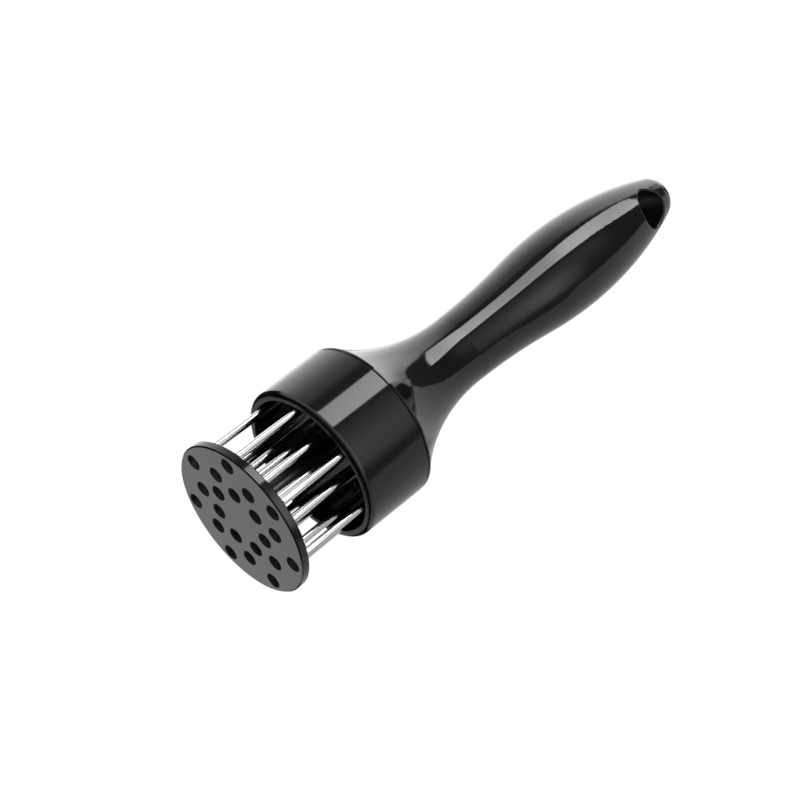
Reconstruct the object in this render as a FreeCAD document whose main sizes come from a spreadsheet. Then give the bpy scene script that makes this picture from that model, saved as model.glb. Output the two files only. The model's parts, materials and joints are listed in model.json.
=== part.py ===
import FreeCAD, Part
import math
import os
import re
import Sketcher

# Push-down blade tenderizer: a handle carries a cup of needles, and a spring-loaded
# guard disc slides up the needles when the tool is pressed on the meat.
# Millimetres. +Z runs from the guard's face up to the tip of the handle, and the origin
# is the centre of the guard's face, on which the tool stands.

doc = FreeCAD.newDocument("blade_tenderizer")

# ---------------------------------------------------------------- driving sizes

SIZES = [
    # guard disc
    ("disc_step", "0.35", "guard disc, how much smaller its rim is than the cup's lip"),
    ("disc_thickness", "3.0", "guard disc, thickness"),
    ("disc_edge", "0.4", "guard disc, bevel of its rim"),
    ("needle_play", "1.25", "guard disc, radial clearance of the needle holes"),
    ("guard_hole_bevel", "0.2", "guard disc, bevel at the mouth of each needle hole"),
    ("guard_turn", "2.0", "guard disc, turn from the needles within their play in degrees"),
    ("hub_wall", "2.5", "guard disc, wall of the hub that holds the stem"),
    ("hub_margin", "1.4", "guard disc, between the hub and the inner ring of holes"),
    ("hub_height", "4.0", "guard disc, height of the hub above the disc"),
    ("socket_floor", "1.4", "guard disc, skin left under the stem"),
    # needles
    ("needles_per_ring", "7", "needles in each of the three rings"),
    ("ring_margin", "1.65", "from the outer ring of needles to the cup's inside"),
    ("needle_turn", "5.0", "angle of the first needle from +X in degrees"),
    ("needle_radius", "1.25", "needle, shank"),
    ("needle_setback", "2.2", "needle tips stand this far behind the guard's face"),
    ("blade_length", "2.4", "needle, ground length of the two blade flats"),
    ("blade_edge", "0.12", "needle, width left at the cutting edge"),
    ("head_step", "0.75", "needle, how far the upset head stands out"),
    ("head_thickness", "0.8", "needle, thickness of the upset head"),
    # motion
    ("travel", "25.0", "stroke of the guard"),
    ("closing_gap", "0.6", "gap from guard to cup at the end of the stroke"),
    # cup
    ("cup_length", "24.9", "needle cup, front lip to seam"),
    ("cup_radius", "27.0", "needle cup, outer radius at the seam"),
    ("cup_taper", "0.25", "needle cup, how much smaller the lip is than the seam"),
    ("cup_wall", "2.9", "needle cup, wall at the lip"),
    ("cup_depth", "12.4", "needle cup, lip to the face the needles come out of"),
    ("floor_thickness", "4.0", "needle cup, floor that holds the needles"),
    ("lip_round", "1.6", "needle cup, outer edge of the lip"),
    ("lip_inner_round", "0.3", "needle cup, inner edge of the lip"),
    ("recess_wall", "2.4", "needle cup, wall around the handle's spigot"),
    ("plate_thickness", "2.5", "backing plate behind the needle heads"),
    # handle
    ("handle_length", "151.8", "handle, seam to tip"),
    ("seam_step", "0.1", "handle, how much smaller its rim is than the cup"),
    ("flange_land", "0.9", "handle, straight part of the rim"),
    ("flare_bevel", "0.5", "handle, bevel between the rim and the flare"),
    ("seam_bevel", "0.35", "bevels on both sides of the seam"),
    ("neck_height", "42.0", "handle, neck above the seam"),
    ("neck_radius", "12.1", "handle, neck"),
    ("grip_height", "97.8", "handle, thickest part above the seam"),
    ("grip_radius", "15.9", "handle, thickest part of the grip"),
    ("grip_arc", "152.0", "handle, lengthwise arc below the thickest part"),
    ("nose_arc", "8.5", "handle, rounding of the nose"),
    ("hang_hole_radius", "6.75", "handle, hanging hole"),
    ("hang_hole_drop", "16.2", "handle, tip to the centre of the hanging hole"),
    ("hang_hole_round", "0.6", "handle, rounding at both mouths of the hanging hole"),
    ("tip_wall", "6.0", "handle, wall between the core and the hanging hole"),
    ("core_radius", "6.0", "handle, core above the spring seat"),
    ("shell_wall", "3.7", "handle, wall of the spigot"),
    ("cavity_shoulder", "1.5", "handle, straight part of the bell cavity above the seam"),
    ("cavity_height", "18.5", "handle, top of the bell cavity above the seam"),
    ("tube_wall", "3.3", "handle, wall of the tube around the stop washer"),
    ("rib_thickness", "1.8", "handle, ribs in the bell cavity"),
    ("rib_height", "11.0", "handle, ribs and screw bosses above the spigot's end"),
    ("boss_wall", "1.6", "handle, wall of the screw bosses"),
    ("bead_height", "0.4", "snap bead between spigot and cup"),
    ("bead_width", "0.6", "snap bead, half its width"),
    ("bead_drop", "3.0", "snap bead, distance below the seam"),
    # guard's stem, stops and spring
    ("stem_radius", "4.0", "plunger stem"),
    ("stem_lead", "0.5", "plunger stem, lead-in cone"),
    ("bush_wall", "2.0", "guide bush, wall"),
    ("bush_flange_step", "1.9", "guide bush, how far the flange stands out"),
    ("bush_flange", "1.5", "guide bush, thickness of the flange"),
    ("bumper_thickness", "1.5", "rubber stop ring"),
    ("washer_margin", "1.5", "stop washer, how far it stands out from the spring"),
    ("washer_thickness", "1.5", "stop washer"),
    ("washer_play", "0.7", "clearance around the stop washer in its bore"),
    ("overrun", "2.0", "spare length of the washer's bore at full stroke"),
    ("stop_screw_radius", "2.0", "stop screw, thread"),
    ("stop_screw_grip", "10.0", "stop screw, length in the stem"),
    ("stop_screw_head_radius", "4.0", "stop screw, head"),
    ("stop_screw_head", "2.4", "stop screw, height of the head"),
    ("spring_play", "0.9", "clearance around the spring in its bore"),
    ("spring_length", "58.9", "room for the spring as fitted"),
    ("spring_radius", "6.4", "spring, to the middle of the wire"),
    ("wire_radius", "0.6", "spring wire"),
    ("spring_turns", "15", "turns of the spring"),
    ("seat_thickness", "1.0", "spring seat washer"),
    ("seat_hole_radius", "5.0", "spring seat washer, hole"),
    # cup screws
    ("screw_radius", "1.5", "cup screw, thread"),
    ("screw_grip", "8.0", "cup screw, length in the handle"),
    ("screw_head_radius", "2.8", "cup screw, head"),
    ("screw_head", "2.0", "cup screw, height of the head"),
    ("recess_width", "0.9", "cross recess, width of each slot"),
    ("recess_depth", "1.1", "cross recess, depth"),
    # clearances
    ("running_fit", "0.08", "radial clearance of the stem in its bush"),
    ("push_fit", "0.02", "radial clearance of pieces that are pressed or screwed in"),
    ("loose_fit", "0.1", "clearance of pieces that drop into place"),
    ("open_gap", "0.3", "gap between pieces that stay clear of each other"),
]

sheet = doc.addObject("Spreadsheet::Sheet", "Sizes")
for row, (alias, number, note) in enumerate(SIZES, start=1):
    sheet.set(f"A{row}", note)
    sheet.set(f"B{row}", number)
    sheet.setAlias(f"B{row}", alias)
doc.recompute()

ALIASES = {alias for alias, number, note in SIZES}


def bound(formula):
    """The formula as a FreeCAD expression that reads every size from the sheet."""
    def cell(match):
        word = match.group(0)
        return f"Sizes.{word}" if word in ALIASES else word
    return re.sub(r"[a-z_]+", cell, formula)


def value(formula):
    """What the formula comes to with the sheet's present numbers."""
    return float(sheet.evalExpression(bound(formula)))


# ---------------------------------------------------------------- heights and derived sizes

CUP_FRONT = "(disc_thickness + travel + closing_gap)"
FLOOR_UNDER = f"({CUP_FRONT} + cup_depth)"
FLOOR_TOP = f"({FLOOR_UNDER} + floor_thickness)"
SPIGOT_END = f"({FLOOR_TOP} + plate_thickness)"
SEAM = f"({CUP_FRONT} + cup_length)"
BEAD = f"({SEAM} - bead_drop)"
TIP = f"({SEAM} + handle_length)"
BUSH_TOP = f"({SPIGOT_END} + bush_flange)"
BUMPER_TOP = f"({BUSH_TOP} + bumper_thickness)"
STEM_TOP = f"({BUMPER_TOP} + open_gap)"
WASHER_TOP = f"({STEM_TOP} + washer_thickness)"
SEAT_UNDER = f"({WASHER_TOP} + spring_length)"
SEAT_TOP = f"({SEAT_UNDER} + seat_thickness)"
WASHER_BORE_TOP = f"({WASHER_TOP} + travel + overrun)"
HANG_HOLE = f"({TIP} - hang_hole_drop)"

CUP_FRONT_RADIUS = "(cup_radius - cup_taper)"
CUP_INSIDE = f"({CUP_FRONT_RADIUS} - cup_wall)"
DISC_RADIUS = f"({CUP_FRONT_RADIUS} - disc_step)"
RECESS_RADIUS = "(cup_radius - recess_wall)"
SPIGOT_RADIUS = f"({RECESS_RADIUS} - loose_fit)"
FLANGE_RADIUS = "(cup_radius - seam_step)"
FLARE_RADIUS = f"({FLANGE_RADIUS} - flare_bevel)"
SPRING_OUTSIDE = "(spring_radius + wire_radius)"
SPRING_BORE = f"({SPRING_OUTSIDE} + spring_play)"
WASHER_RADIUS = f"({SPRING_OUTSIDE} + washer_margin)"
WASHER_BORE = f"({WASHER_RADIUS} + washer_play)"
TUBE_RADIUS = f"({WASHER_BORE} + tube_wall)"
SHELL_INSIDE = f"({SPIGOT_RADIUS} - shell_wall)"
STEM_BORE = "(stem_radius + running_fit)"
BUSH_RADIUS = f"({STEM_BORE} + bush_wall)"
BUSH_HOLE = f"({BUSH_RADIUS} + push_fit)"
BUSH_FLANGE_RADIUS = f"({BUSH_RADIUS} + bush_flange_step)"
HUB_RADIUS = "(stem_radius + hub_wall)"
GUARD_HOLE = "(needle_radius + needle_play)"
HEAD_RADIUS = "(needle_radius + head_step)"
INNER_RING = f"({HUB_RADIUS} + hub_margin + {GUARD_HOLE})"
OUTER_RING = f"({CUP_INSIDE} - ring_margin)"
RINGS = [INNER_RING, f"(({INNER_RING} + {OUTER_RING}) / 2)", OUTER_RING]
RING_STEP = "(360 / needles_per_ring)"
# the middle ring stands half a step round from the other two
RING_OFFSETS = ["0", f"({RING_STEP} / 2)", "0"]
# the cup screws stand on the middle ring, each half-way between two of its needles
SCREW_RING = RINGS[1]
SCREW_STEPS = [0, 2, 5]


# ---------------------------------------------------------------- sketch helpers

def origin_feature(body, role):
    """One of the body's own origin planes or axes."""
    for feature in body.Origin.OriginFeatures:
        if feature.Role == role:
            return feature
    raise RuntimeError(f"{body.Name} has no {role}")


def new_sketch(body, name, role, height=None):
    """A sketch on an origin plane of the body, lifted by the height formula if given."""
    sketch = body.newObject("Sketcher::SketchObject", f"{body.Name}_{name}")
    sketch.AttachmentSupport = (origin_feature(body, role), [""])
    sketch.MapMode = "FlatFace"
    if height is not None:
        sketch.setExpression(".AttachmentOffset.Base.z", bound(height))
    return sketch


def tie(sketch, kind, references, formula):
    """Adds a dimension and binds it to the sheet."""
    index = sketch.addConstraint(Sketcher.Constraint(kind, *references, value(formula)))
    sketch.setExpression(f"Constraints[{index}]", bound(formula))


def place_point(sketch, geometry, point, across, up):
    """Fixes a point of the sketch, measured from the origin the way each formula is positive."""
    for formula, kind, axis in ((across, "DistanceX", -2), (up, "DistanceY", -1)):
        amount = value(formula)
        if formula == "0":
            sketch.addConstraint(Sketcher.Constraint("PointOnObject", geometry, point, axis))
        elif amount > 0:
            tie(sketch, kind, (-1, 1, geometry, point), formula)
        else:
            tie(sketch, kind, (geometry, point, -1, 1), f"-({formula})")


def arc_centre(start, end, radius, side):
    """Centre of the arc from start to end: side +1 puts it on the left, -1 on the right."""
    middle = (start + end) * 0.5
    chord = end - start
    reach = math.sqrt(max(radius ** 2 - (chord.Length / 2) ** 2, 0.0))
    left = FreeCAD.Vector(-chord.y, chord.x, 0).normalize()
    return middle + left * (reach * side)


def add_arc(sketch, start, end, radius, side):
    """Adds an arc, and returns it with its start and end as the outline runs."""
    centre = arc_centre(start, end, radius, side)
    first, last = (start, end) if side > 0 else (end, start)
    first_angle = math.atan2(first.y - centre.y, first.x - centre.x)
    last_angle = math.atan2(last.y - centre.y, last.x - centre.x)
    circle = Part.Circle(centre, FreeCAD.Vector(0, 0, 1), radius)
    geometry = sketch.addGeometry(Part.ArcOfCircle(circle, first_angle, last_angle))
    return (geometry, 1, 2) if side > 0 else (geometry, 2, 1)


def outline(sketch, corners):
    """A closed outline. A corner is (across, up), or (across, up, radius, side) where an
    arc leads from it to the next corner."""
    spots = [FreeCAD.Vector(value(corner[0]), value(corner[1]), 0) for corner in corners]
    ends = []
    for index, corner in enumerate(corners):
        start = spots[index]
        end = spots[(index + 1) % len(spots)]
        if len(corner) > 2:
            ends.append(add_arc(sketch, start, end, value(corner[2]), corner[3]))
        else:
            ends.append((sketch.addGeometry(Part.LineSegment(start, end)), 1, 2))
    for index, (geometry, start, end) in enumerate(ends):
        following, following_start, following_end = ends[(index + 1) % len(ends)]
        sketch.addConstraint(
            Sketcher.Constraint("Coincident", geometry, end, following, following_start))
    for (geometry, start, end), corner in zip(ends, corners):
        place_point(sketch, geometry, start, corner[0], corner[1])
        if len(corner) > 2:
            tie(sketch, "Radius", (geometry,), corner[2])


def circles(sketch, spots):
    """Circles at (across, up, radius)."""
    for across, up, radius in spots:
        centre = FreeCAD.Vector(value(across), value(up), 0)
        circle = Part.Circle(centre, FreeCAD.Vector(0, 0, 1), value(radius))
        geometry = sketch.addGeometry(circle)
        place_point(sketch, geometry, 3, across, up)
        tie(sketch, "Radius", (geometry,), radius)


# ---------------------------------------------------------------- feature helpers

def turned(name, corners):
    """A body turned about Z from a closed outline of (radius, height) corners."""
    body = doc.addObject("PartDesign::Body", name)
    body.Label = name
    sketch = new_sketch(body, "outline", "XZ_Plane")
    outline(sketch, corners)
    turn = body.newObject("PartDesign::Revolution", f"{name}_turn")
    turn.Profile = sketch
    turn.ReferenceAxis = (sketch, ["V_Axis"])
    turn.Angle = 360
    body.Tip = turn
    doc.recompute()
    return body


def ring(name, inner, outer, low, high):
    """A plain ring about Z."""
    return turned(name, [(inner, low), (outer, low), (outer, high), (inner, high)])


def pad(body, name, sketch, height):
    """Adds the sketch to the body, upwards by the height formula."""
    before = body.Shape.Volume
    added = body.newObject("PartDesign::Pad", f"{body.Name}_{name}")
    added.Profile = sketch
    added.setExpression("Length", bound(height))
    body.Tip = added
    doc.recompute()
    if not body.Shape.Volume > before:
        raise RuntimeError(f"{added.Name} adds nothing")
    return added


def finish_pocket(body, cut, sketch):
    """Sets the sketch, makes the pocket the body's tip and tests that it cuts."""
    before = body.Shape.Volume
    cut.Profile = sketch
    body.Tip = cut
    doc.recompute()
    if not body.Shape.Volume < before:
        raise RuntimeError(f"{cut.Name} removes nothing")
    return cut


def pocket(body, name, sketch, depth, upwards=True):
    """Cuts the sketch upwards or downwards by the depth formula."""
    cut = body.newObject("PartDesign::Pocket", f"{body.Name}_{name}")
    cut.Reversed = upwards
    cut.setExpression("Length", bound(depth))
    return finish_pocket(body, cut, sketch)


def cut_through(body, name, sketch):
    """Cuts the sketch right through the body, on both sides of its plane."""
    cut = body.newObject("PartDesign::Pocket", f"{body.Name}_{name}")
    cut.Type = "ThroughAll"
    cut.Midplane = True
    return finish_pocket(body, cut, sketch)


def repeat_round(body, feature):
    """Repeats the feature about Z, once for each needle of a ring."""
    pattern = body.newObject("PartDesign::PolarPattern", f"{feature.Name}_ring")
    pattern.Originals = [feature]
    pattern.Axis = (origin_feature(body, "Z_Axis"), [""])
    pattern.Angle = 360
    pattern.setExpression("Occurrences", bound("needles_per_ring"))
    body.Tip = pattern
    doc.recompute()
    return pattern


def on_ring(radius, angle):
    """The (across, up) formulas of a point at an angle in degrees from +X."""
    return f"{radius} * cos({angle} * 1 deg)", f"{radius} * sin({angle} * 1 deg)"


def needle_circles(turn, radius):
    """One circle on each ring: the pattern about Z makes the others."""
    spots = []
    for ring_radius, offset in zip(RINGS, RING_OFFSETS):
        across, up = on_ring(ring_radius, f"({turn} + {offset})")
        spots.append((across, up, radius))
    return spots


def screw_circles(radius):
    """A circle for each cup screw."""
    spots = []
    for step in SCREW_STEPS:
        across, up = on_ring(SCREW_RING, f"(needle_turn + {step} * {RING_STEP})")
        spots.append((across, up, radius))
    return spots


def place_body(body, across, up, height, angle):
    """Binds the body's placement: a turn about Z and a shift."""
    body.Placement.Rotation = FreeCAD.Rotation(FreeCAD.Vector(0, 0, 1), 0)
    body.setExpression(".Placement.Rotation.Angle", bound(f"{angle} * 1 deg"))
    body.setExpression(".Placement.Base.x", bound(across))
    body.setExpression(".Placement.Base.y", bound(up))
    body.setExpression(".Placement.Base.z", bound(height))


def cross_recess(body, head_face, head_radius, upwards):
    """A cross recess in the face of a screw's head, half the head's width across."""
    half = "recess_width / 2"
    reach = f"{head_radius} / 2"
    arm = [(reach, f"-{half}"), (reach, half), (half, half)]
    corners = []
    for cosine, sine in ((1, 0), (0, 1), (-1, 0), (0, -1)):
        for across, up in arm:
            corners.append((f"{cosine} * ({across}) - ({sine}) * ({up})",
                            f"{sine} * ({across}) + ({cosine}) * ({up})"))
    sketch = new_sketch(body, "recess_sketch", "XY_Plane", head_face)
    outline(sketch, corners)
    pocket(body, "recess", sketch, "recess_depth", upwards)


# ---------------------------------------------------------------- guard

def make_guard_disc():
    """Disc that rests on the meat: one hole for each needle, and a hub for the stem."""
    socket = "(stem_radius + push_fit)"
    hub_top = "(disc_thickness + hub_height)"
    body = turned("guard_disc", [
        ("0", "0"),
        (f"{DISC_RADIUS} - disc_edge", "0"),
        (DISC_RADIUS, "disc_edge"),
        (DISC_RADIUS, "disc_thickness - disc_edge"),
        (f"{DISC_RADIUS} - disc_edge", "disc_thickness"),
        (HUB_RADIUS, "disc_thickness"),
        (HUB_RADIUS, hub_top),
        (socket, hub_top),
        (socket, "socket_floor"),
        ("0", "socket_floor"),
    ])
    sketch = new_sketch(body, "hole_sketch", "XY_Plane")
    circles(sketch, needle_circles("(needle_turn + guard_turn)", GUARD_HOLE))
    holes = repeat_round(body, pocket(body, "holes", sketch, "disc_thickness"))
    mouths = []
    for index, edge in enumerate(holes.Shape.Edges, start=1):
        if not isinstance(edge.Curve, Part.Circle):
            continue
        on_face = abs(edge.Curve.Center.z) < 1e-6
        if on_face and abs(edge.Curve.Radius - value(GUARD_HOLE)) < 1e-6:
            mouths.append(f"Edge{index}")
    bevel = body.newObject("PartDesign::Chamfer", "guard_disc_mouths")
    bevel.Base = (holes, mouths)
    bevel.setExpression("Size", bound("guard_hole_bevel"))
    body.Tip = bevel
    return body


def make_plunger_stem():
    """Stem that carries the guard: pressed into the hub, tapped for the stop screw."""
    tapped = "(stop_screw_radius + push_fit)"
    tap_end = f"({STEM_TOP} - stop_screw_grip - open_gap)"
    return turned("plunger_stem", [
        ("0", "socket_floor"),
        ("stem_radius - stem_lead", "socket_floor"),
        ("stem_radius", "socket_floor + stem_lead"),
        ("stem_radius", STEM_TOP),
        (tapped, STEM_TOP),
        (tapped, tap_end),
        ("0", tap_end),
    ])


def make_stop_washer():
    """Washer on top of the stem: the spring pushes on it, and it ends the return stroke."""
    return ring("stop_washer", "stop_screw_radius + loose_fit", WASHER_RADIUS,
                STEM_TOP, WASHER_TOP)


def make_stop_screw():
    """Screw that holds the stop washer on the stem."""
    head_top = f"({WASHER_TOP} + stop_screw_head)"
    end = f"({STEM_TOP} - stop_screw_grip)"
    body = turned("stop_screw", [
        ("0", end),
        ("stop_screw_radius", end),
        ("stop_screw_radius", WASHER_TOP),
        ("stop_screw_head_radius", WASHER_TOP),
        ("stop_screw_head_radius", f"{head_top} - stop_screw_head / 2"),
        ("stop_screw_head_radius - stop_screw_head / 2", head_top),
        ("0", head_top),
    ])
    cross_recess(body, head_top, "stop_screw_head_radius", upwards=False)
    return body


# ---------------------------------------------------------------- needles and cup

def make_needle(number, ring_radius, angle):
    """Steel needle: round shank, upset head above, two flats ground to an edge below."""
    head_top = f"({FLOOR_TOP} - needle_setback)"
    head_under = f"({head_top} - head_thickness)"
    body = turned(f"needle_{number:02d}", [
        ("0", "0"),
        ("needle_radius", "0"),
        ("needle_radius", head_under),
        (HEAD_RADIUS, head_under),
        (HEAD_RADIUS, head_top),
        ("0", head_top),
    ])
    for side in ("+", "-"):
        flat = "right" if side == "+" else "left"
        sketch = new_sketch(body, f"{flat}_sketch", "XZ_Plane")
        outline(sketch, [
            (f"{side}blade_edge / 2", "0"),
            (f"{side}needle_radius", "0"),
            (f"{side}needle_radius", "blade_length"),
        ])
        cut_through(body, f"{flat}_flat", sketch)
    across, up = on_ring(ring_radius, angle)
    place_body(body, across, up, "needle_setback", angle)
    return body


def make_needles():
    """All needles, ring by ring from the middle outwards."""
    needles = []
    for ring_radius, offset in zip(RINGS, RING_OFFSETS):
        for step in range(round(value("needles_per_ring"))):
            angle = f"(needle_turn + {offset} + {step} * {RING_STEP})"
            needles.append(make_needle(len(needles) + 1, ring_radius, angle))
    return needles


def make_needle_cup():
    """Cup: its floor holds the needles, its lip is the stop that the guard closes against."""
    groove_radius = f"({RECESS_RADIUS} + bead_height)"
    groove_width = "(bead_width + loose_fit)"
    body = turned("needle_cup", [
        (f"{CUP_INSIDE} + lip_inner_round", CUP_FRONT),
        (f"{CUP_FRONT_RADIUS} - lip_round", CUP_FRONT, "lip_round", 1),
        (CUP_FRONT_RADIUS, f"{CUP_FRONT} + lip_round"),
        ("cup_radius", f"{SEAM} - seam_bevel"),
        ("cup_radius - seam_bevel", SEAM),
        (RECESS_RADIUS, SEAM),
        (RECESS_RADIUS, f"{BEAD} + {groove_width}"),
        (groove_radius, BEAD),
        (RECESS_RADIUS, f"{BEAD} - {groove_width}"),
        (RECESS_RADIUS, FLOOR_TOP),
        (BUSH_HOLE, FLOOR_TOP),
        (BUSH_HOLE, FLOOR_UNDER),
        (CUP_INSIDE, FLOOR_UNDER),
        (CUP_INSIDE, f"{CUP_FRONT} + lip_inner_round", "lip_inner_round", 1),
    ])
    sketch = new_sketch(body, "needle_sketch", "XY_Plane", FLOOR_UNDER)
    circles(sketch, needle_circles("needle_turn", "needle_radius + push_fit"))
    repeat_round(body, pocket(body, "needle_holes", sketch, "floor_thickness"))
    sketch = new_sketch(body, "head_sketch", "XY_Plane", FLOOR_TOP)
    circles(sketch, needle_circles("needle_turn", f"{HEAD_RADIUS} + loose_fit"))
    repeat_round(body, pocket(body, "head_seats", sketch, "head_thickness", upwards=False))
    sketch = new_sketch(body, "screw_sketch", "XY_Plane", FLOOR_UNDER)
    circles(sketch, screw_circles("screw_radius + loose_fit"))
    pocket(body, "screw_holes", sketch, "floor_thickness")
    return body


def make_backing_plate():
    """Plate that keeps the needle heads in their seats."""
    body = ring("backing_plate", BUSH_HOLE, SPIGOT_RADIUS, FLOOR_TOP, SPIGOT_END)
    sketch = new_sketch(body, "screw_sketch", "XY_Plane", FLOOR_TOP)
    circles(sketch, screw_circles("screw_radius + loose_fit"))
    pocket(body, "screw_holes", sketch, "plate_thickness")
    return body


def make_cup_screws():
    """Screws from the cup's floor up into the handle's bosses, as one group."""
    screws = []
    length = "(screw_head + floor_thickness + plate_thickness + screw_grip)"
    for count, step in enumerate(SCREW_STEPS, start=1):
        body = turned(f"cup_screw_{count}", [
            ("0", "0"),
            ("screw_head_radius - screw_head / 2", "0"),
            ("screw_head_radius", "screw_head / 2"),
            ("screw_head_radius", "screw_head"),
            ("screw_radius", "screw_head"),
            ("screw_radius", length),
            ("0", length),
        ])
        cross_recess(body, "0", "screw_head_radius", upwards=True)
        angle = f"(needle_turn + {step} * {RING_STEP})"
        across, up = on_ring(SCREW_RING, angle)
        place_body(body, across, up, f"{FLOOR_UNDER} - screw_head", angle)
        screws.append(body)
    group = doc.addObject("Part::Compound", "cup_screws")
    group.Label = "cup_screws"
    group.Links = screws
    return group


# ---------------------------------------------------------------- guide, stops and spring

def make_guide_bush():
    """Bush in the middle of the cup's floor: the stem runs in it."""
    return turned("guide_bush", [
        (STEM_BORE, FLOOR_UNDER),
        (BUSH_RADIUS, FLOOR_UNDER),
        (BUSH_RADIUS, SPIGOT_END),
        (BUSH_FLANGE_RADIUS, SPIGOT_END),
        (BUSH_FLANGE_RADIUS, BUSH_TOP),
        (STEM_BORE, BUSH_TOP),
    ])


def make_stop_bumper():
    """Rubber ring under the stop washer, which softens the end of the return stroke."""
    return ring("stop_bumper", "stem_radius + open_gap", BUSH_FLANGE_RADIUS,
                BUSH_TOP, BUMPER_TOP)


def make_spring_seat():
    """Washer against the step in the handle's bore, which takes the spring's push."""
    return ring("spring_seat", "seat_hole_radius", f"{SPRING_BORE} - open_gap",
                SEAT_UNDER, SEAT_TOP)


def make_return_spring():
    """Coil spring as fitted, between the stop washer and the spring seat."""
    wire = value("wire_radius")
    radius = value("spring_radius")
    lift = wire + value("open_gap")
    rise = value("spring_length") - 2 * lift
    pitch = rise / value("spring_turns")
    path = Part.Wire(Part.makeHelix(pitch, rise, radius).Edges)
    start = FreeCAD.Vector(radius, 0, 0)
    along = FreeCAD.Vector(0, radius, pitch / (2 * math.pi))
    section = Part.Wire(Part.makeCircle(wire, start, along))
    spring = doc.addObject("Part::Feature", "return_spring")
    spring.Label = "return_spring"
    spring.Shape = path.makePipeShell([section], True, True)
    height = value(WASHER_TOP) + lift
    spring.Placement = FreeCAD.Placement(FreeCAD.Vector(0, 0, height), FreeCAD.Rotation())
    return spring


# ---------------------------------------------------------------- handle

def handle_corners():
    """Half section of the handle, counter-clockwise from the foot of the washer's bore.

    Five arcs make the outside. The flare ends upright at the neck and the arc above it
    starts upright there. The arcs below and above the thickest part meet upright at it.
    The last, the nose, crosses the axis square at the tip. All joints are tangent.
    """
    flare_foot = f"({SEAM} + flange_land + flare_bevel)"
    neck = f"({SEAM} + neck_height)"
    flare_in = f"({FLARE_RADIUS} - neck_radius)"
    flare_arc = f"(({flare_in}^2 + ({neck} - {flare_foot})^2) / (2 * {flare_in}))"
    swell = "(grip_radius - neck_radius)"
    rise = "(grip_height - neck_height)"
    both_arcs = f"(({swell}^2 + {rise}^2) / (2 * {swell}))"
    neck_arc = f"({both_arcs} - grip_arc)"
    neck_share = f"({neck_arc} / {both_arcs})"
    bend_radius = f"(neck_radius + {neck_share} * {swell})"
    bend_height = f"({neck} + {neck_share} * {rise})"
    upper = "(handle_length - grip_height - nose_arc)"
    upper_arc = f"((grip_radius^2 + {upper}^2 - nose_arc^2) / (2 * (grip_radius - nose_arc)))"
    nose_share = f"(nose_arc / ({upper_arc} - nose_arc))"
    nose_radius = f"({nose_share} * ({upper_arc} - grip_radius))"
    nose_height = f"({TIP} - nose_arc + {nose_share} * {upper})"
    core_top = f"({HANG_HOLE} - hang_hole_radius - tip_wall)"
    return [
        (WASHER_BORE, SPIGOT_END),
        (TUBE_RADIUS, SPIGOT_END),
        (TUBE_RADIUS, f"{SEAM} + cavity_height"),
        (SHELL_INSIDE, f"{SEAM} + cavity_shoulder"),
        (SHELL_INSIDE, SPIGOT_END),
        (f"{SPIGOT_RADIUS} - bead_height", SPIGOT_END),
        (SPIGOT_RADIUS, f"{SPIGOT_END} + bead_height"),
        (SPIGOT_RADIUS, f"{BEAD} - bead_width"),
        (f"{SPIGOT_RADIUS} + bead_height", BEAD),
        (SPIGOT_RADIUS, f"{BEAD} + bead_width"),
        (SPIGOT_RADIUS, SEAM),
        (f"{FLANGE_RADIUS} - seam_bevel", SEAM),
        (FLANGE_RADIUS, f"{SEAM} + seam_bevel"),
        (FLANGE_RADIUS, f"{SEAM} + flange_land"),
        (FLARE_RADIUS, flare_foot, flare_arc, -1),
        ("neck_radius", neck, neck_arc, -1),
        (bend_radius, bend_height, "grip_arc", 1),
        ("grip_radius", f"{SEAM} + grip_height", upper_arc, 1),
        (nose_radius, nose_height, "nose_arc", 1),
        ("0", TIP),
        ("0", core_top),
        ("core_radius", core_top),
        ("core_radius", SEAT_TOP),
        (SPRING_BORE, SEAT_TOP),
        (SPRING_BORE, WASHER_BORE_TOP),
        (WASHER_BORE, WASHER_BORE_TOP),
    ]


def add_ribs(body):
    """Radial ribs between the tube and the shell, one at each needle of the inner ring."""
    inner = f"({TUBE_RADIUS} - tube_wall / 2)"
    outer = f"({SHELL_INSIDE} + shell_wall / 4)"
    half = "(rib_thickness / 2)"
    sketch = new_sketch(body, "rib_sketch", "XY_Plane", SPIGOT_END)
    sketch.setExpression(".AttachmentOffset.Rotation.Angle", bound("needle_turn * 1 deg"))
    outline(sketch, [(inner, f"-{half}"), (outer, f"-{half}"), (outer, half), (inner, half)])
    repeat_round(body, pad(body, "ribs", sketch, "rib_height"))


def add_bosses(body):
    """Bosses for the cup screws, with their pilot holes."""
    sketch = new_sketch(body, "boss_sketch", "XY_Plane", SPIGOT_END)
    circles(sketch, screw_circles("screw_radius + boss_wall"))
    pad(body, "bosses", sketch, "rib_height")
    sketch = new_sketch(body, "pilot_sketch", "XY_Plane", SPIGOT_END)
    circles(sketch, screw_circles("screw_radius + push_fit"))
    pocket(body, "pilot_holes", sketch, "screw_grip + open_gap")


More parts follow.
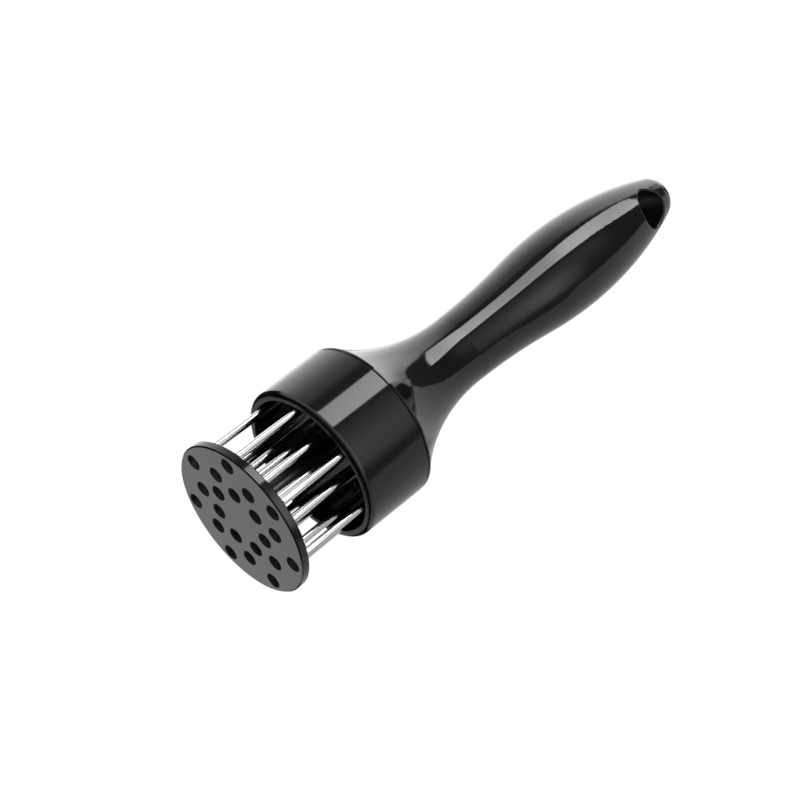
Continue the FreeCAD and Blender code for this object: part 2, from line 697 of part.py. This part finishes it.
def cut_hanging_hole(body):
    """Cross hole near the tip, from front to back, rounded at both mouths."""
    sketch = new_sketch(body, "hang_sketch", "XZ_Plane")
    circles(sketch, [("0", HANG_HOLE, "hang_hole_radius")])
    hole = cut_through(body, "hang_hole", sketch)
    wall_edges = []
    for face in hole.Shape.Faces:
        if isinstance(face.Surface, Part.Cylinder) and abs(face.Surface.Axis.y) > 0.99:
            wall_edges += face.Edges
    mouths = []
    for index, edge in enumerate(hole.Shape.Edges, start=1):
        on_wall = any(edge.isSame(wall_edge) for wall_edge in wall_edges)
        if on_wall and not isinstance(edge.Curve, Part.Line):
            mouths.append(f"Edge{index}")
    rounding = body.newObject("PartDesign::Fillet", "handle_hang_mouths")
    rounding.Base = (hole, mouths)
    rounding.setExpression("Radius", bound("hang_hole_round"))
    body.Tip = rounding


def make_handle():
    """Moulded handle: flared foot, stepped bore for washer and spring, hanging hole."""
    body = turned("handle", handle_corners())
    add_ribs(body)
    add_bosses(body)
    cut_hanging_hole(body)
    return body


# ---------------------------------------------------------------- build, check and write

pieces = [make_handle(), make_needle_cup(), make_backing_plate(), make_cup_screws()]
pieces += make_needles()
pieces += [make_guard_disc(), make_plunger_stem(), make_guide_bush(), make_stop_bumper()]
pieces += [make_stop_washer(), make_stop_screw(), make_return_spring(), make_spring_seat()]

doc.recompute()
for item in doc.Objects:
    if "Invalid" in item.State or "Error" in item.State:
        raise RuntimeError(f"{item.Name} failed: {item.State}")
for piece in pieces:
    if piece.Shape.isNull() or not piece.Shape.isValid():
        raise RuntimeError(f"{piece.Label} has no valid shape")

os.makedirs("parts", exist_ok=True)
for piece in pieces:
    piece.Shape.exportStep(f"parts/{piece.Label}.step")
    box = piece.Shape.optimalBoundingBox(True, False)
    print(f"{piece.Label}: {len(piece.Shape.Solids)} solid, {piece.Shape.Volume:.0f} mm3, "
          f"z {box.ZMin:.2f} to {box.ZMax:.2f}, x {box.XMin:.2f} to {box.XMax:.2f}")
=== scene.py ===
import bpy
import json
import math
from mathutils import Matrix, Vector


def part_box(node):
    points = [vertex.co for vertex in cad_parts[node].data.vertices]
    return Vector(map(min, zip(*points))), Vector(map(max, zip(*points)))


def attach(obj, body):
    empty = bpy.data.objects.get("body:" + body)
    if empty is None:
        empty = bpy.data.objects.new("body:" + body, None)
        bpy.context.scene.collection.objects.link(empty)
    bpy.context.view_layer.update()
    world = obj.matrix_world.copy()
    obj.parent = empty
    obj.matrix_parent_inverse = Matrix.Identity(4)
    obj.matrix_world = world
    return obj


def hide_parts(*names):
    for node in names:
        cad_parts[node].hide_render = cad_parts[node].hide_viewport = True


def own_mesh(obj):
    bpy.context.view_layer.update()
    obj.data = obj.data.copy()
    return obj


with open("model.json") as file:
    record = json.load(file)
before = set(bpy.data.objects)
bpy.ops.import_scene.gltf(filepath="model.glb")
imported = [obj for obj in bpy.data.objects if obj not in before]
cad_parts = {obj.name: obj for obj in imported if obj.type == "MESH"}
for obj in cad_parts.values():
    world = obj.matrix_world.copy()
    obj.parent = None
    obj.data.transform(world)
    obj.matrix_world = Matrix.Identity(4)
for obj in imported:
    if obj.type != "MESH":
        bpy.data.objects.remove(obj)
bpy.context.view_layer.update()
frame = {"nodes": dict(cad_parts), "record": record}

# Push-down needle tenderizer. Metres, in the frame of the CAD model: +Z runs from the
# guard's face to the tip of the handle, and the hanging hole runs along Y.

MM = 0.001


# ---------------------------------------------------------------- node helpers

def feed(tree, socket, amount):
    """Sets a socket to a number, or links another socket to it."""
    if isinstance(amount, (int, float)):
        socket.default_value = amount
    else:
        tree.links.new(amount, socket)


def calc(tree, operation, *values):
    """A Math node on numbers or sockets. Returns its output socket."""
    node = tree.nodes.new("ShaderNodeMath")
    node.operation = operation
    for socket, amount in zip(node.inputs, values):
        feed(tree, socket, amount)
    return node.outputs[0]


def total(tree, operation, values):
    """Sum or product of several sockets or numbers."""
    result = values[0]
    for amount in values[1:]:
        result = calc(tree, operation, result, amount)
    return result


def line(tree, amount, origin, offset, slope):
    """offset + slope * (amount - origin)."""
    moved = calc(tree, "SUBTRACT", amount, origin)
    return calc(tree, "MULTIPLY_ADD", moved, slope, offset)


def ramp(tree, amount, low, high, start=0.0, end=1.0):
    """Smooth step of the amount, from start at low to end at high."""
    node = tree.nodes.new("ShaderNodeMapRange")
    node.interpolation_type = "SMOOTHSTEP"
    feed(tree, node.inputs["Value"], amount)
    feed(tree, node.inputs["From Min"], low)
    feed(tree, node.inputs["From Max"], high)
    feed(tree, node.inputs["To Min"], start)
    feed(tree, node.inputs["To Max"], end)
    return node.outputs[0]


def step_at(tree, amount, edge, soft):
    """0 below the edge and 1 above it, over a soft width. The edge may be a socket."""
    return ramp(tree, calc(tree, "SUBTRACT", amount, edge), -soft / 2, soft / 2)


def between(tree, amount, low, high, soft_low, soft_high):
    """1 between two edges and 0 outside them, each with its own soft width."""
    past_low = step_at(tree, amount, low, soft_low)
    past_high = step_at(tree, amount, high, soft_high)
    return calc(tree, "SUBTRACT", past_low, past_high)


def split(tree, vector):
    """The three parts of a vector, as sockets."""
    node = tree.nodes.new("ShaderNodeSeparateXYZ")
    tree.links.new(vector, node.inputs["Vector"])
    return node.outputs


def reach(tree, across, along):
    """Distance from an axis, given the two parts that lie square to it."""
    squares = calc(tree, "MULTIPLY_ADD", along, along, calc(tree, "MULTIPLY", across, across))
    return calc(tree, "SQRT", squares)


def blend(tree, share, first, second, surface):
    """Links to a surface the first shader where the share is 0, and the second where it is 1."""
    mix = tree.nodes.new("ShaderNodeMixShader")
    tree.links.new(share, mix.inputs["Fac"])
    tree.links.new(first, mix.inputs[1])
    tree.links.new(second, mix.inputs[2])
    tree.links.new(mix.outputs["Shader"], surface)


# ---------------------------------------------------------------- studio light

# A direction is a turn in degrees from the middle of the dark gap, which looks along
# GAP_AZIMUTH (0 is +X, 90 is +Y), and a rise in degrees above the horizon. Each ramp in
# this part runs over turn or rise in degrees, and ends in a level or in degrees.
GAP_AZIMUTH = -105.0
KEY_LEFT = -51.0            # turns at which the key light's sides stand
KEY_RIGHT = -22.5
KEY_SOFT = 2.0
KEY_LEAN_RISE = 26.5        # rise from which its left side leans, and degrees per degree
KEY_LEAN = -0.43
KEY_FACING = -20.0          # turn that it faces, and the tangent of its top's rise there
KEY_TOP_SLOPE = 2.17
KEY_FOOT = 8.0
GAP_LEFT = -70.0            # turns at which the dark gap ends
GAP_RIGHT = 55.0
GAP_LEFT_SOFT = 13.0
GAP_RIGHT_SOFT = 3.0
SIDE_END = 155.0            # turns at which the grey side and the room behind end
SIDE_SOFT = 8.0
BACK_END = 190.0
BACK_SOFT = 6.0
HORIZON = 8.0               # rise at which the room passes into the table
HORIZON_SOFT = 12.0
TABLE_LEVEL = 1.09
CLOTH_SHADE = -0.97


def key_light(tree, turn, rise):
    """Tall light box, whose sides lean outwards as it comes over the tool."""
    left = calc(tree, "MINIMUM", line(tree, rise, KEY_LEAN_RISE, KEY_LEFT, KEY_LEAN), KEY_LEFT)
    right = calc(tree, "ADD", KEY_RIGHT, ramp(tree, rise, 36.0, 60.0, 0.0, 4.5))
    width = between(tree, turn, left, right, KEY_SOFT, KEY_SOFT)
    facing = calc(tree, "COSINE", calc(tree, "RADIANS", calc(tree, "SUBTRACT", turn, KEY_FACING)))
    slope = calc(tree, "MULTIPLY", facing, KEY_TOP_SLOPE)
    top = calc(tree, "DEGREES", calc(tree, "ARCTANGENT", slope))
    inside = calc(tree, "MULTIPLY", width, between(tree, rise, KEY_FOOT, top, KEY_SOFT, KEY_SOFT))
    foot = ramp(tree, rise, 23.0, 35.0, 4.8, 7.4)
    crown = ramp(tree, rise, 36.0, 54.0, 0.0, 2.3)
    level = calc(tree, "SUBTRACT", foot, crown)
    brighter_right = line(tree, turn, origin=-40.0, offset=1.0, slope=0.008)
    return total(tree, "MULTIPLY", [inside, level, brighter_right])


def gap_sides(tree, rise):
    """Turns at which the dark gap ends, left and right."""
    left = calc(tree, "ADD", GAP_LEFT, ramp(tree, rise, 62.0, 82.0, 0.0, -26.0))
    wider_below = ramp(tree, rise, 25.0, 30.0, 12.0, 0.5)
    narrower_above = ramp(tree, rise, 50.0, 84.0, 0.0, -10.0)
    right = total(tree, "ADD", [wider_below, narrower_above, GAP_RIGHT])
    return left, right


def dark_gap(tree, turn, rise, left, right):
    """Unlit room between the lights, with a faint glow in front, low down and higher up."""
    low_glow = total(tree, "MULTIPLY", [
        ramp(tree, rise, 20.0, 30.0, 1.1, 0.45),    # strongest lowest down
        ramp(tree, rise, 28.0, 36.0, 1.0, 0.0),     # gone above
        ramp(tree, turn, -10.0, 24.0),              # comes in from the left
        ramp(tree, turn, 34.0, 54.0, 1.0, 0.0),     # and goes out to the right
    ])
    high_glow = total(tree, "MULTIPLY", [
        ramp(tree, rise, 38.0, 52.0, 0.3, 0.0),     # gone above
        ramp(tree, turn, -22.0, -8.0),              # beside the key light
        ramp(tree, turn, -2.0, 44.0, 1.0, 0.0),     # and out to the right
    ])
    dim_room = ramp(tree, rise, 20.0, 60.0, 0.22, 0.13)
    level = total(tree, "ADD", [dim_room, low_glow, high_glow])
    inside = between(tree, turn, left, right, GAP_LEFT_SOFT, GAP_RIGHT_SOFT)
    return calc(tree, "MULTIPLY", inside, level)


def grey_side(tree, turn, rise, start, end):
    """Grey wall on the +X side, a little brighter higher up."""
    inside = between(tree, turn, start, end, GAP_RIGHT_SOFT, SIDE_SOFT)
    level = line(tree, rise, origin=25.0, offset=0.57, slope=0.0035)
    return calc(tree, "MULTIPLY", inside, level)


def bright_wall(tree, turn, rise, end):
    """Bright wall on the -X side, dimmer low down towards the front and right overhead."""
    inside = between(tree, turn, BACK_END, end, BACK_SOFT, GAP_LEFT_SOFT)
    level = total(tree, "ADD", [
        ramp(tree, rise, 22.0, 62.0, 1.5, 1.82),    # the wall
        ramp(tree, rise, 54.0, 64.0, 0.0, 0.35),    # its brighter top
        ramp(tree, rise, 66.0, 86.0, 0.0, -1.3),    # and its end overhead
    ])
    towards_front = ramp(tree, turn, 240.0, 285.0, 0.0, 0.85)
    low_down = ramp(tree, rise, 30.0, 52.0, 1.0, 0.0)
    dim = calc(tree, "MULTIPLY", towards_front, low_down)
    return calc(tree, "MULTIPLY", inside, calc(tree, "SUBTRACT", level, dim))


def room_behind(tree, turn, rise, start):
    """What lies behind the tool: bright low down, dark overhead."""
    inside = between(tree, turn, start, BACK_END, SIDE_SOFT, BACK_SOFT)
    return calc(tree, "MULTIPLY", inside, ramp(tree, rise, 40.0, 52.0, 0.6, 0.12))


def light_table(tree, turn, rise):
    """Table below the tool, dimmer on the +X side, and dark right under it."""
    dim_from = ramp(tree, turn, 40.0, 60.0)
    dim_until = ramp(tree, turn, 140.0, 172.0, 0.5, 0.0)
    level = calc(tree, "SUBTRACT", TABLE_LEVEL, calc(tree, "MULTIPLY", dim_from, dim_until))
    shadow = ramp(tree, rise, -38.0, -28.0, 0.12, 1.0)
    return calc(tree, "MULTIPLY", level, shadow)


def dark_cloth(tree, turn, rise):
    """1 on a black cloth low down behind the tool, except in a slot that lets the table show."""
    cloth_width = between(tree, turn, 142.0, 248.0, 8.0, 8.0)
    cloth_height = ramp(tree, rise, 18.0, 24.0, 1.0, 0.0)
    slot_width = between(tree, turn, 166.0, 192.0, 5.0, 5.0)
    slot_height = ramp(tree, rise, -31.0, -26.0)
    cloth = calc(tree, "MULTIPLY", cloth_width, cloth_height)
    slot = calc(tree, "MULTIPLY", slot_width, slot_height)
    return calc(tree, "MULTIPLY", cloth, calc(tree, "SUBTRACT", 1.0, slot))


def studio_level(tree, turn, rise):
    """Brightness of the studio seen in a direction, as one socket."""
    # the same turn, but counted from 0 to 360
    round_turn = calc(tree, "MULTIPLY_ADD", calc(tree, "LESS_THAN", turn, 0.0), 360.0, turn)
    gap_left, gap_right = gap_sides(tree, rise)
    narrower_above = ramp(tree, rise, 60.0, 88.0, 0.0, 22.0)
    side_end = calc(tree, "SUBTRACT", SIDE_END, narrower_above)
    above = total(tree, "ADD", [
        key_light(tree, turn, rise),
        dark_gap(tree, turn, rise, gap_left, gap_right),
        grey_side(tree, turn, rise, gap_right, side_end),
        bright_wall(tree, round_turn, rise, calc(tree, "ADD", gap_left, 360.0)),
        room_behind(tree, round_turn, rise, side_end),
    ])
    below = light_table(tree, turn, rise)
    share = step_at(tree, rise, HORIZON, HORIZON_SOFT)
    level = calc(tree, "MULTIPLY_ADD", calc(tree, "SUBTRACT", above, below), share, below)
    shown = calc(tree, "MULTIPLY_ADD", dark_cloth(tree, round_turn, rise), CLOTH_SHADE, 1.0)
    return calc(tree, "MULTIPLY", level, shown)


def make_studio():
    """World that is plain white to the camera and a soft studio to every surface."""
    world = bpy.data.worlds.new("studio")
    bpy.context.scene.world = world
    world.use_nodes = True
    tree = world.node_tree
    tree.nodes.clear()
    direction = tree.nodes.new("ShaderNodeTexCoord").outputs["Generated"]
    turned = tree.nodes.new("ShaderNodeVectorRotate")
    turned.rotation_type = "Z_AXIS"
    turned.inputs["Angle"].default_value = -math.radians(GAP_AZIMUTH)
    tree.links.new(direction, turned.inputs["Vector"])
    parts = split(tree, turned.outputs["Vector"])
    turn = calc(tree, "DEGREES", calc(tree, "ARCTAN2", parts["Y"], parts["X"]))
    rise = calc(tree, "DEGREES", calc(tree, "ARCSINE", parts["Z"]))

    light = tree.nodes.new("ShaderNodeBackground")
    light.inputs["Color"].default_value = (1, 1, 1, 1)
    tree.links.new(studio_level(tree, turn, rise), light.inputs["Strength"])
    seen = tree.nodes.new("ShaderNodeBackground")
    seen.inputs["Color"].default_value = (1, 1, 1, 1)
    to_camera = tree.nodes.new("ShaderNodeLightPath").outputs["Is Camera Ray"]
    output = tree.nodes.new("ShaderNodeOutputWorld")
    blend(tree, to_camera, light.outputs["Background"], seen.outputs["Background"],
          output.inputs["Surface"])
    world.cycles.sampling_method = "MANUAL"
    world.cycles.sample_map_resolution = 1024


# ---------------------------------------------------------------- materials

BLACK = (0.0015, 0.0015, 0.0016), (0.0025, 0.0025, 0.0026)     # darkest and lightest


def new_material(name):
    """A material with its node tree, Principled shader and an object-space position."""
    material = bpy.data.materials.new(name)
    material.use_nodes = True
    tree = material.node_tree
    shader = tree.nodes["Principled BSDF"]
    place = tree.nodes.new("ShaderNodeTexCoord").outputs["Object"]
    return material, tree, shader, place


def noise(tree, place, scale, detail=3.0, stretch=(1, 1, 1)):
    """Noise of about -0.5 to 0.5 with so many blobs per metre, stretched along an axis."""
    mapping = tree.nodes.new("ShaderNodeMapping")
    mapping.inputs["Scale"].default_value = stretch
    tree.links.new(place, mapping.inputs["Vector"])
    texture = tree.nodes.new("ShaderNodeTexNoise")
    texture.inputs["Scale"].default_value = scale
    texture.inputs["Detail"].default_value = detail
    tree.links.new(mapping.outputs["Vector"], texture.inputs["Vector"])
    return calc(tree, "SUBTRACT", texture.outputs["Fac"], 0.5)


def tint(tree, amount, dark, light):
    """Colour between dark and light as the amount goes from -0.5 to 0.5."""
    node = tree.nodes.new("ShaderNodeMix")
    node.data_type = "RGBA"
    tree.links.new(calc(tree, "ADD", amount, 0.5), node.inputs["Factor"])
    node.inputs["A"].default_value = (*dark, 1)
    node.inputs["B"].default_value = (*light, 1)
    return node.outputs["Result"]


def shade(colour, share):
    """The colour at a share of its brightness."""
    return tuple(share * part for part in colour)


def bump(tree, shader, heights, depth):
    """Bump of the given height field, whose full swing is depth metres."""
    node = tree.nodes.new("ShaderNodeBump")
    node.inputs["Distance"].default_value = depth
    node.inputs["Strength"].default_value = 1.0
    tree.links.new(heights, node.inputs["Height"])
    tree.links.new(node.outputs["Normal"], shader.inputs["Normal"])


def gloss_black(name, roughness, ripple, dull_part=None, dull_roughness=0.0):
    """Moulded black plastic: faint ripple, hairline scuffs and a little uneven gloss.

    Where dull_part(tree, place) gives 1, the surface is at least as rough as dull_roughness."""
    material, tree, shader, place = new_material(name)
    cloud = noise(tree, place, scale=90.0)
    scuff = noise(tree, place, scale=700.0, detail=2.0, stretch=(1, 1, 0.12))
    tree.links.new(tint(tree, cloud, *BLACK), shader.inputs["Base Color"])
    uneven = calc(tree, "MULTIPLY_ADD", cloud, 0.3 * roughness, roughness)
    gloss = calc(tree, "MULTIPLY_ADD", scuff, 0.4 * roughness, uneven)
    if dull_part:
        dull = calc(tree, "MULTIPLY", dull_part(tree, place), dull_roughness)
        gloss = calc(tree, "MAXIMUM", gloss, dull)
    tree.links.new(gloss, shader.inputs["Roughness"])
    shader.inputs["IOR"].default_value = 1.5
    bump(tree, shader, noise(tree, place, scale=160.0, detail=1.0), ripple)
    return material


def hanging_hole(tree, place):
    """1 on the wall of the handle's cross hole, and 0 on the rounding of its mouths."""
    mount = next(mount for mount in frame["record"]["mounts"] if mount["name"] == "hang_hole")
    radius = mount["dims"]["r_mm"] * MM
    slack = 0.1 * MM
    parts = split(tree, place)
    height = calc(tree, "SUBTRACT", parts["Z"], mount["pos_m"][2])
    return calc(tree, "LESS_THAN", reach(tree, parts["X"], height), radius + slack)


def needle_holes(tree, place):
    """1 on the walls of the guard's holes, which stand upright inside its rim."""
    rim_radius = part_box("guard_disc")[1][0]
    margin = 1 * MM
    parts = split(tree, place)
    normal = split(tree, tree.nodes.new("ShaderNodeTexCoord").outputs["Normal"])
    upright = calc(tree, "LESS_THAN", calc(tree, "ABSOLUTE", normal["Z"]), 0.5)
    inside = calc(tree, "LESS_THAN", reach(tree, parts["X"], parts["Y"]), rim_radius - margin)
    return calc(tree, "MULTIPLY", upright, inside)


def cup_lip(tree, place):
    """1 on the flat lip of the cup, which the mould leaves dull."""
    slack = 0.05 * MM
    lip_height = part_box("needle_cup")[0][2]
    return calc(tree, "LESS_THAN", split(tree, place)["Z"], lip_height + slack)


def steel(name, colour, roughness, grain):
    """Drawn steel: fine lines along the wire and a slightly uneven polish."""
    material, tree, shader, place = new_material(name)
    lines = noise(tree, place, scale=2600.0, stretch=(1, 1, 0.004))
    cloud = noise(tree, place, scale=300.0)
    tree.links.new(tint(tree, lines, shade(colour, 0.86), colour), shader.inputs["Base Color"])
    shader.inputs["Metallic"].default_value = 1.0
    lined = calc(tree, "MULTIPLY_ADD", lines, 0.5 * roughness, roughness)
    uneven = calc(tree, "MULTIPLY_ADD", cloud, 0.4 * roughness, lined)
    tree.links.new(uneven, shader.inputs["Roughness"])
    bump(tree, shader, lines, grain)
    return material


def matt_plastic(name, colour, roughness):
    """Moulded plastic or rubber with a fine even texture."""
    grain = 0.01 * MM
    material, tree, shader, place = new_material(name)
    cloud = noise(tree, place, scale=60.0)
    tree.links.new(tint(tree, cloud, shade(colour, 0.9), colour), shader.inputs["Base Color"])
    tree.links.new(calc(tree, "MULTIPLY_ADD", cloud, 0.15, roughness), shader.inputs["Roughness"])
    bump(tree, shader, noise(tree, place, scale=2500.0, detail=2.0), grain)
    return material


# ---------------------------------------------------------------- stage and camera

PAPER = (0.86, 0.86, 0.86), (0.9, 0.9, 0.9)                     # darkest and lightest
FLOOR_HALF = 0.6
FLOOR_DROP = 0.0003         # so that it never touches the guard's face


def flat_sheet(name, half_width, half_height, height):
    """A rectangle square to Z and centred on it, at a height. Returns the object."""
    corners = [(-half_width, -half_height, height), (half_width, -half_height, height),
               (half_width, half_height, height), (-half_width, half_height, height)]
    mesh = bpy.data.meshes.new(name)
    mesh.from_pydata(corners, [], [(0, 1, 2, 3)])
    sheet = bpy.data.objects.new(name, mesh)
    bpy.context.scene.collection.objects.link(sheet)
    return sheet


def make_floor():
    """Pale floor under the tool, seen only from above and faded out to the white around."""
    floor = flat_sheet("floor", FLOOR_HALF, FLOOR_HALF, -FLOOR_DROP)
    material, tree, shader, place = new_material("floor_paper")
    cloud = noise(tree, place, scale=40.0)
    tree.links.new(tint(tree, cloud, *PAPER), shader.inputs["Base Color"])
    shader.inputs["Roughness"].default_value = 0.9
    shader.inputs["Specular IOR Level"].default_value = 0.0
    distance = tree.nodes.new("ShaderNodeVectorMath")
    distance.operation = "LENGTH"
    tree.links.new(place, distance.inputs[0])
    fade = ramp(tree, distance.outputs["Value"], low=0.12, high=0.5)
    from_below = tree.nodes.new("ShaderNodeNewGeometry").outputs["Backfacing"]
    clear = tree.nodes.new("ShaderNodeBsdfTransparent")
    blend(tree, calc(tree, "MAXIMUM", fade, from_below), shader.outputs["BSDF"], clear.outputs["BSDF"],
          tree.nodes["Material Output"].inputs["Surface"])
    floor.data.materials.append(material)
    floor.visible_diffuse = False
    floor.visible_glossy = False
    floor.visible_shadow = False


def make_card(name, centre, towards, half_size, soft, level):
    """White card near the tool, seen only in its gloss. Both sizes are pairs, wide and high.

    It faces along towards, and its edges fade over the soft width on both sides of half_size."""
    card = flat_sheet(name, half_size[0] + soft[0], half_size[1] + soft[1], 0.0)
    facing = towards.to_track_quat("Z", "Y").to_matrix().to_4x4()
    card.matrix_world = Matrix.Translation(centre) @ facing
    material, tree, _, place = new_material(name + "_paper")
    parts = split(tree, place)
    inside = [ramp(tree, calc(tree, "ABSOLUTE", parts[axis]), half - edge, half + edge, 1.0, 0.0)
              for axis, half, edge in zip("XY", half_size, soft)]
    glow = tree.nodes.new("ShaderNodeEmission")
    glow.inputs["Strength"].default_value = level
    clear = tree.nodes.new("ShaderNodeBsdfTransparent")
    blend(tree, calc(tree, "MULTIPLY", *inside), clear.outputs["BSDF"], glow.outputs["Emission"],
          tree.nodes["Material Output"].inputs["Surface"])
    card.data.materials.append(material)
    card.visible_camera = False
    card.visible_diffuse = False
    card.visible_shadow = False


def make_cards():
    """A small card over the tip of the handle, and a long soft one in front of the guard's rim."""
    nose = Vector((-4.0, -6.3, 199.2)) * MM
    over_nose = Vector((-0.27, -0.047, 0.962))
    make_card("white_card", nose + over_nose * 60 * MM, over_nose,
              half_size=(7.5 * MM, 7.5 * MM), soft=(2 * MM, 2 * MM), level=1.2)
    before_rim = Vector((10.0, -125.6, 50.0)) * MM
    make_card("rim_card", before_rim, Vector((0.122, -0.993, 0)),
              half_size=(45 * MM, 12 * MM), soft=(35 * MM, 3 * MM), level=1.9)


def make_camera():
    """Camera below and in front of the guard, looking up along the tool."""
    place = Vector((-130.856, -450.507, -197.524)) * MM
    right = Vector((0.48310662, -0.54580341, 0.68462152))
    down = Vector((0.84069447, 0.0707019, -0.53687434))
    ahead = Vector((0.2446238, 0.83492508, 0.49301046))
    turn = Matrix((right, -down, -ahead)).transposed()
    data = bpy.data.cameras.new("camera")
    data.sensor_width = 36.0
    data.lens = 76.5
    data.clip_start = 0.01
    data.clip_end = 20.0
    camera = bpy.data.objects.new("camera", data)
    camera.matrix_world = Matrix.Translation(place) @ turn.to_4x4()
    bpy.context.scene.collection.objects.link(camera)
    bpy.context.scene.camera = camera


# ---------------------------------------------------------------- the tool

def make_spring(material):
    """Return spring: a copy of its CAD node's mesh in the given material, hung on the tool's body in
    place of the node.
    """
    mesh = frame["nodes"]["return_spring"].data.copy()
    mesh.materials.clear()
    mesh.materials.append(material)
    spring = bpy.data.objects.new("coil_spring", mesh)
    bpy.context.scene.collection.objects.link(spring)
    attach(spring, "tool")
    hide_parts("return_spring")
    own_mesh(spring)


def dress_nodes():
    """Materials of all the CAD nodes, and the spring that replaces one of them."""
    ripple = 0.002 * MM
    inner = matt_plastic("inner_plastic", (0.72, 0.71, 0.67), roughness=0.5)
    needle = steel("needle_steel", (0.72, 0.72, 0.71), roughness=0.1, grain=0.0006 * MM)
    plated = steel("plated_steel", (0.66, 0.67, 0.68), roughness=0.25, grain=0.002 * MM)
    materials = {
        "handle": gloss_black("handle_gloss", 0.06, ripple, hanging_hole, 0.3),
        "needle_cup": gloss_black("cup_gloss", 0.07, ripple, cup_lip, 0.4),
        "guard_disc": gloss_black("guard_gloss", 0.1, ripple, needle_holes, 0.8),
        "plunger_stem": gloss_black("stem_satin", 0.3, ripple),
        "cup_screws": gloss_black("black_zinc", 0.35, 0.5 * ripple),
        "stop_bumper": matt_plastic("rubber", (0.02, 0.02, 0.02), roughness=0.8),
        "backing_plate": inner,
        "guide_bush": inner,
        "stop_washer": plated,
        "stop_screw": plated,
        "spring_seat": plated,
        "return_spring": plated,
    }
    for name, node in frame["nodes"].items():
        for slot in node.material_slots:
            slot.material = materials.get(name, needle)
    make_spring(plated)


bpy.context.scene.view_settings.view_transform = "Standard"
make_studio()
make_floor()
make_cards()
dress_nodes()
make_camera()
